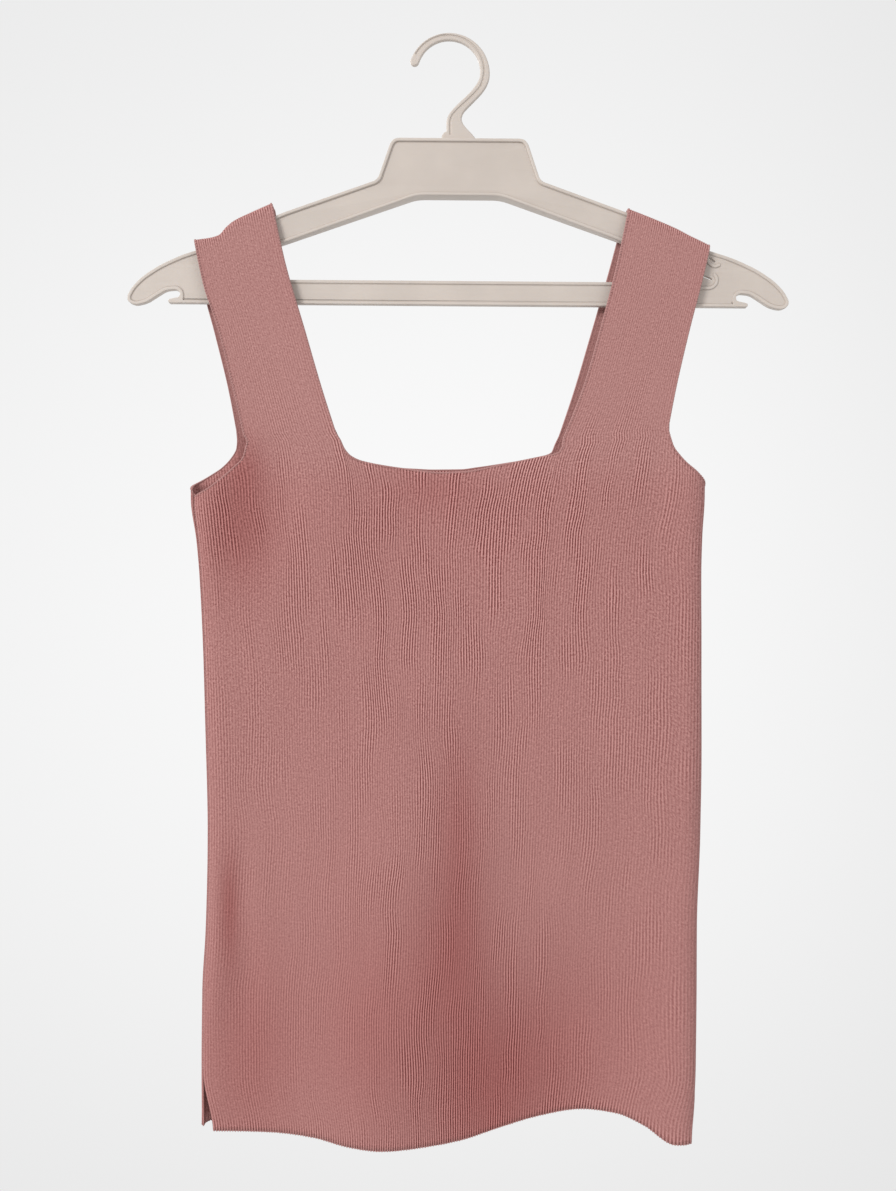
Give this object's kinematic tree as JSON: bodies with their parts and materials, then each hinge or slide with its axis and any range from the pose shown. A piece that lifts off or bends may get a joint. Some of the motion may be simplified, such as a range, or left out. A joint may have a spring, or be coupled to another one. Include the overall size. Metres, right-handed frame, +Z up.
{
  "type": "ribbed knit tank top on a plastic hanger",
  "caption": "Sleeveless rib-knit top with wide straps and a square neck, hanging flat on a moulded plastic hanger by its hook",
  "frame": {"origin": "the inside of the hook's top, where the hook hangs on its rail or nail", "axes": "Z up, X across to the right as seen from the front, the garment's front faces -Y"},
  "size_m": [0.4176, 0.0351, 0.6962],
  "materials": {
    "rose_knit": "matte rib knit",
    "hanger_plastic": "satin"
  },
  "bodies": {
    "root": {"front_panel": "rose_knit", "back_panel": "rose_knit", "hanger_frame": "hanger_plastic", "hanger_hook": "hanger_plastic"}
  },
  "joints": []
}
